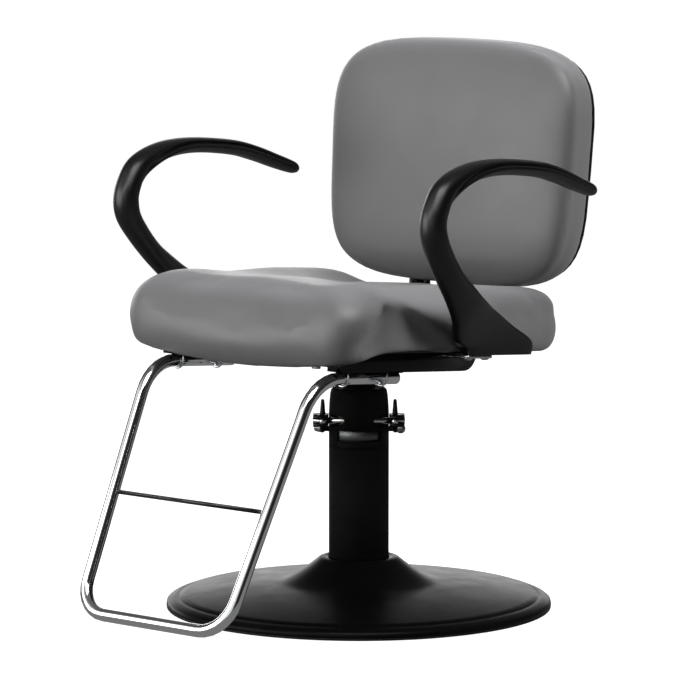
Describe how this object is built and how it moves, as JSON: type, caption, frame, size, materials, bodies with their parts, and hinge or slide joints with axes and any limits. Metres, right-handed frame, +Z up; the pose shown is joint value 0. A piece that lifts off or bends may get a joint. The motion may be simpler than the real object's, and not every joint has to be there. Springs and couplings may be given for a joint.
{
  "type": "salon styling chair",
  "caption": "Hydraulic salon chair with a round base, grey cushions, black loop arms and a bent-tube footrest.",
  "frame": {"origin": "on the floor, on the axis of the column", "axes": "+Z up along the column, the sitter faces -Y, +X is the sitter's left"},
  "size_m": [0.6782, 0.7937, 0.8897],
  "materials": {
    "base_paint": "black satin powder coat",
    "pump_paint": "black satin powder coat on a fine casting",
    "frame_paint": "black gloss enamel on pressed steel",
    "pedal_paint": "black satin powder coat",
    "zinc": "bright zinc plating",
    "dark_steel": "machined, oiled steel",
    "window_steel": "dull drawn steel",
    "chrome": "bright chrome plating",
    "rod_steel": "black-plated steel rod",
    "ram_steel": "hard-chromed and ground",
    "bronze": "oil-soaked sintered bronze, darkened",
    "cast": "as cast, machined where it bears",
    "rubber": "matt black rubber",
    "urethane": "satin black moulded urethane skin with a fine grain",
    "shell": "black grained moulding",
    "vinyl": "medium grey upholstery vinyl with a fine leather grain, over foam",
    "plywood": "plywood, painted black"
  },
  "bodies": {
    "base": {"base_plate": "base_paint", "base_gasket": "rubber", "mount_plate": "zinc", "base_bolts": "zinc", "column_tube": "pump_paint", "pump_head": "pump_paint", "window_sleeve": "window_steel", "inner_cylinder": "dark_steel", "cylinder_plug": "dark_steel", "pump_body": "cast", "ram_bush": "bronze", "ram_wiper": "rubber", "shaft_bushes": "bronze", "oil_plug": "zinc", "plunger_springs": "dark_steel"},
    "pedal": {"rocker_shaft": "ram_steel", "rocker_arm": "cast", "shaft_clamps": "pedal_paint", "clamp_bolts": "zinc", "pedal_bar": "pedal_paint", "pedal_pad": "rubber", "pedal_knuckle": "zinc"},
    "plungers": {"pump_plungers": "ram_steel"},
    "ram": {"ram": "ram_steel", "piston": "dark_steel", "piston_ring": "rubber", "thrust_bearing": "dark_steel", "spindle_clip": "dark_steel"},
    "seat": {"swivel_hub": "pump_paint", "swivel_bush": "bronze", "hub_bolts": "zinc", "seat_frame": "frame_paint", "frame_bolts": "zinc", "footrest_tube": "chrome", "footrest_rod": "rod_steel", "footrest_ubolts": "zinc", "footrest_nuts": "zinc", "seat_board": "plywood", "seat_cushion": "vinyl", "arm_brackets": "zinc", "bracket_bolts": "zinc", "arm_bolts": "zinc", "left_arm": "urethane", "right_arm": "urethane", "back_bars": "frame_paint", "bar_bolts": "zinc", "back_board": "plywood", "back_cushion": "vinyl", "back_shell": "shell", "back_bolts": "zinc", "shell_screws": "zinc"}
  },
  "joints": [
    {"name": "lift", "type": "slide", "parent": "base", "child": "ram", "axis": [0, 0, 1], "range_m": [0, 0.165]},
    {"name": "swivel", "type": "hinge", "parent": "ram", "child": "seat", "pos_m": [0, 0, 0.37], "axis": [0, 0, 1], "continuous": true},
    {"name": "pedal", "type": "hinge", "parent": "base", "child": "pedal", "pos_m": [0.02329, -0.02679, 0.301], "axis": [-0.7547, -0.6561, 0], "range_deg": [0, 16], "stiffness_Nm_per_rad": 6, "springref_deg": -20.05},
    {"name": "plunger", "type": "slide", "parent": "base", "child": "plungers", "axis": [0, 0, -1], "range_m": [0, 0.0075], "deforming": ["plunger_springs"]}
  ],
  "couplings": [
    {"joint": "plunger", "follows": "pedal", "m_per_rad": 0.0255}
  ]
}
